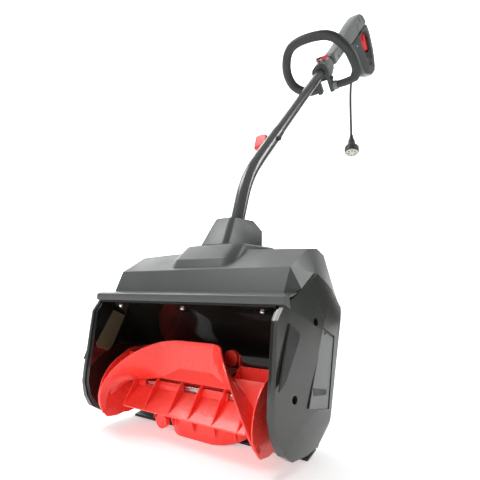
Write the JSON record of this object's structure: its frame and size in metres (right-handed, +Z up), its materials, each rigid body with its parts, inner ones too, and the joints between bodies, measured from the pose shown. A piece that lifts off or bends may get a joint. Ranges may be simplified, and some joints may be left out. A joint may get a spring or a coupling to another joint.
{
  "type": "electric power snow shovel",
  "caption": "Corded electric power snow shovel with a wide scoop head, red paddle auger, bent tube, sliding loop handle, D-grip with trigger and a short hanging cord.",
  "frame": {"origin": "on the floor, in the middle of the footprint, under the lowest edge of the scraper strip", "axes": "+X along the auger, from the machine's left to its right as seen from in front of the scoop; +Y back from the scoop towards the rear handle; +Z up"},
  "size_m": [0.416, 1.0963, 1.2416],
  "materials": {
    "shell_grey": "satin grained dark grey housing plastic",
    "light_grey": "satin lighter grey handle plastic",
    "gloss_black": "smooth glossy black liner plastic",
    "soft_black": "soft-touch charcoal plastic",
    "auger_red": "glossy coral-red moulded plastic",
    "steel": "bright zinc-plated steel",
    "alloy": "die-cast motor housing",
    "tube_paint": "glossy dark grey-black paint",
    "rubber": "matt black rubber",
    "ivory": "ivory plug face"
  },
  "bodies": {
    "head": {"auger_bearing_left": "steel", "auger_bearing_right": "steel", "cord": "rubber", "cover_screw_left_1": "steel", "cover_screw_left_2": "steel", "cover_screw_right_1": "steel", "cover_screw_right_2": "steel", "drive_belt": "rubber", "front_lip": "shell_grey", "grip_screw_1": "steel", "grip_screw_2": "steel", "grip_shell_left": "shell_grey", "grip_shell_right": "shell_grey", "handle_top_cover": "light_grey", "intake_liner": "gloss_black", "joint_bolt": "steel", "lower_tube": "tube_paint", "motor_body": "alloy", "motor_bracket": "steel", "neck_socket": "shell_grey", "plug_body": "soft_black", "plug_face": "ivory", "rear_cover": "shell_grey", "roof_screw_1": "steel", "roof_screw_2": "steel", "roof_screw_3": "steel", "saddle_cover": "shell_grey", "scraper_blade": "soft_black", "scraper_screw_1": "steel", "scraper_screw_2": "steel", "side_cover_left": "shell_grey", "side_cover_right": "shell_grey", "side_plate_left": "gloss_black", "side_plate_right": "gloss_black", "strain_relief": "rubber", "switch_body": "soft_black", "top_shell": "shell_grey", "trigger_pin": "steel", "upper_tube": "tube_paint"},
    "auger": {"auger_shaft": "steel", "auger_pulley": "soft_black", "auger_paddle_a": "auger_red", "auger_paddle_b": "auger_red", "auger_core": "auger_red", "auger_end_left": "auger_red", "auger_end_right": "auger_red"},
    "motor_rotor": {"motor_shaft": "steel", "motor_pulley": "steel"},
    "knob": {"joint_knob": "auger_red"},
    "loop": {"loop_handle": "soft_black", "handle_yoke": "soft_black", "yoke_bolt": "steel", "clamp_body": "light_grey", "clamp_pin": "steel"},
    "lever": {"clamp_lever": "auger_red"},
    "trigger_lever": {"trigger": "auger_red"},
    "lock": {"lock_button": "auger_red"}
  },
  "joints": [
    {"name": "auger_spin", "type": "hinge", "parent": "head", "child": "auger", "pos_m": [0, -0.4692, 0.078], "axis": [1, 0, 0], "continuous": true},
    {"name": "motor_spin", "type": "hinge", "parent": "head", "child": "motor_rotor", "pos_m": [0, -0.4022, 0.213], "axis": [1, 0, 0], "continuous": true},
    {"name": "knob_turn", "type": "hinge", "parent": "head", "child": "knob", "pos_m": [0, -0.21507, 0.57721], "axis": [1, 0, 0], "range_deg": [0, 720]},
    {"name": "loop_slide", "type": "slide", "parent": "head", "child": "loop", "axis": [0, 0.6997, 0.7145], "range_m": [-0.2, 0.018]},
    {"name": "lever_flip", "type": "hinge", "parent": "loop", "child": "lever", "pos_m": [0, 0.06474, 0.90225], "axis": [1, 0, 0], "range_deg": [0, 110]},
    {"name": "trigger_pull", "type": "hinge", "parent": "head", "child": "trigger_lever", "pos_m": [0, 0.45881, 1.18817], "axis": [1, 0, 0], "range_deg": [0, 6], "stiffness_Nm_per_rad": 0.8, "springref_deg": -4.01},
    {"name": "lock_press", "type": "slide", "parent": "head", "child": "lock", "axis": [0, -0.6997, -0.7145], "range_m": [0, 0.004], "stiffness_N_per_m": 250, "springref_m": -0.0015}
  ],
  "couplings": [
    {"joint": "motor_spin", "follows": "auger_spin", "ratio": 3.385}
  ]
}
